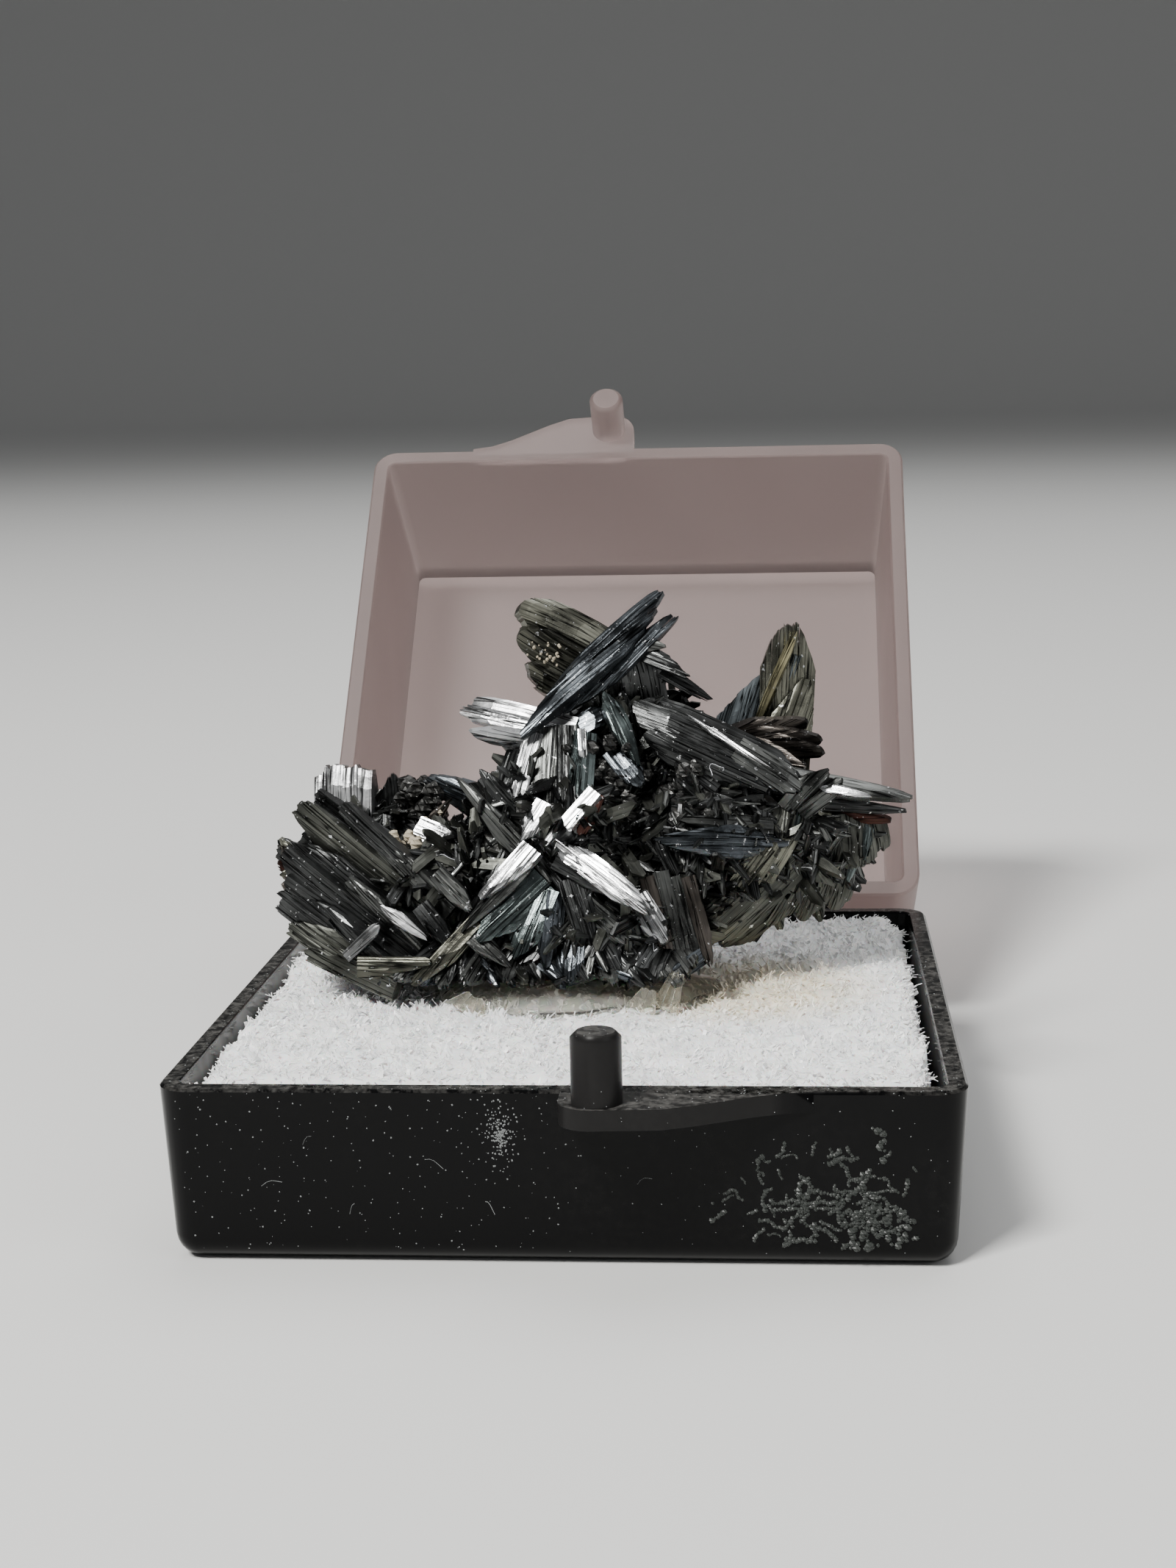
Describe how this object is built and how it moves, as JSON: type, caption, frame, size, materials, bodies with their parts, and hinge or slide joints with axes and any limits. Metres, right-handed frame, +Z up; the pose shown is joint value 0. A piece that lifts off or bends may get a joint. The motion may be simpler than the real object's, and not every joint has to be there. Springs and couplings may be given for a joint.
{
  "type": "manganite specimen",
  "caption": "Dark, striated, bladed manganite crystals held by clear tack on a white foam pad in a small square black display box with a clear hinged lid.",
  "frame": {"origin": "middle of the flat underside of the tray", "axes": "+Z up, +X to the right seen from the front, and +Y from the front latch towards the hinge and the open lid"},
  "size_m": [0.033, 0.0687, 0.0351],
  "materials": {
    "black_plastic": "glossy black moulded plastic, dusty",
    "clear_plastic": "clear moulded plastic with a faint haze",
    "white_foam": "white fibrous foam",
    "clear_tack": "clear, slightly yellow tack",
    "manganite": "dark steel-grey crystal with a sub-metallic lustre, striated"
  },
  "bodies": {
    "tray": {"box_base": "black_plastic", "foam_insert": "white_foam", "mounting_tack": "clear_tack", "manganite_cluster": "manganite"},
    "lid": {"box_lid": "clear_plastic"}
  },
  "joints": [
    {"name": "lid_hinge", "type": "hinge", "parent": "tray", "child": "lid", "pos_m": [0, 0.0178, 0.007], "axis": [1, 0, 0], "range_deg": [0, 104]}
  ]
}
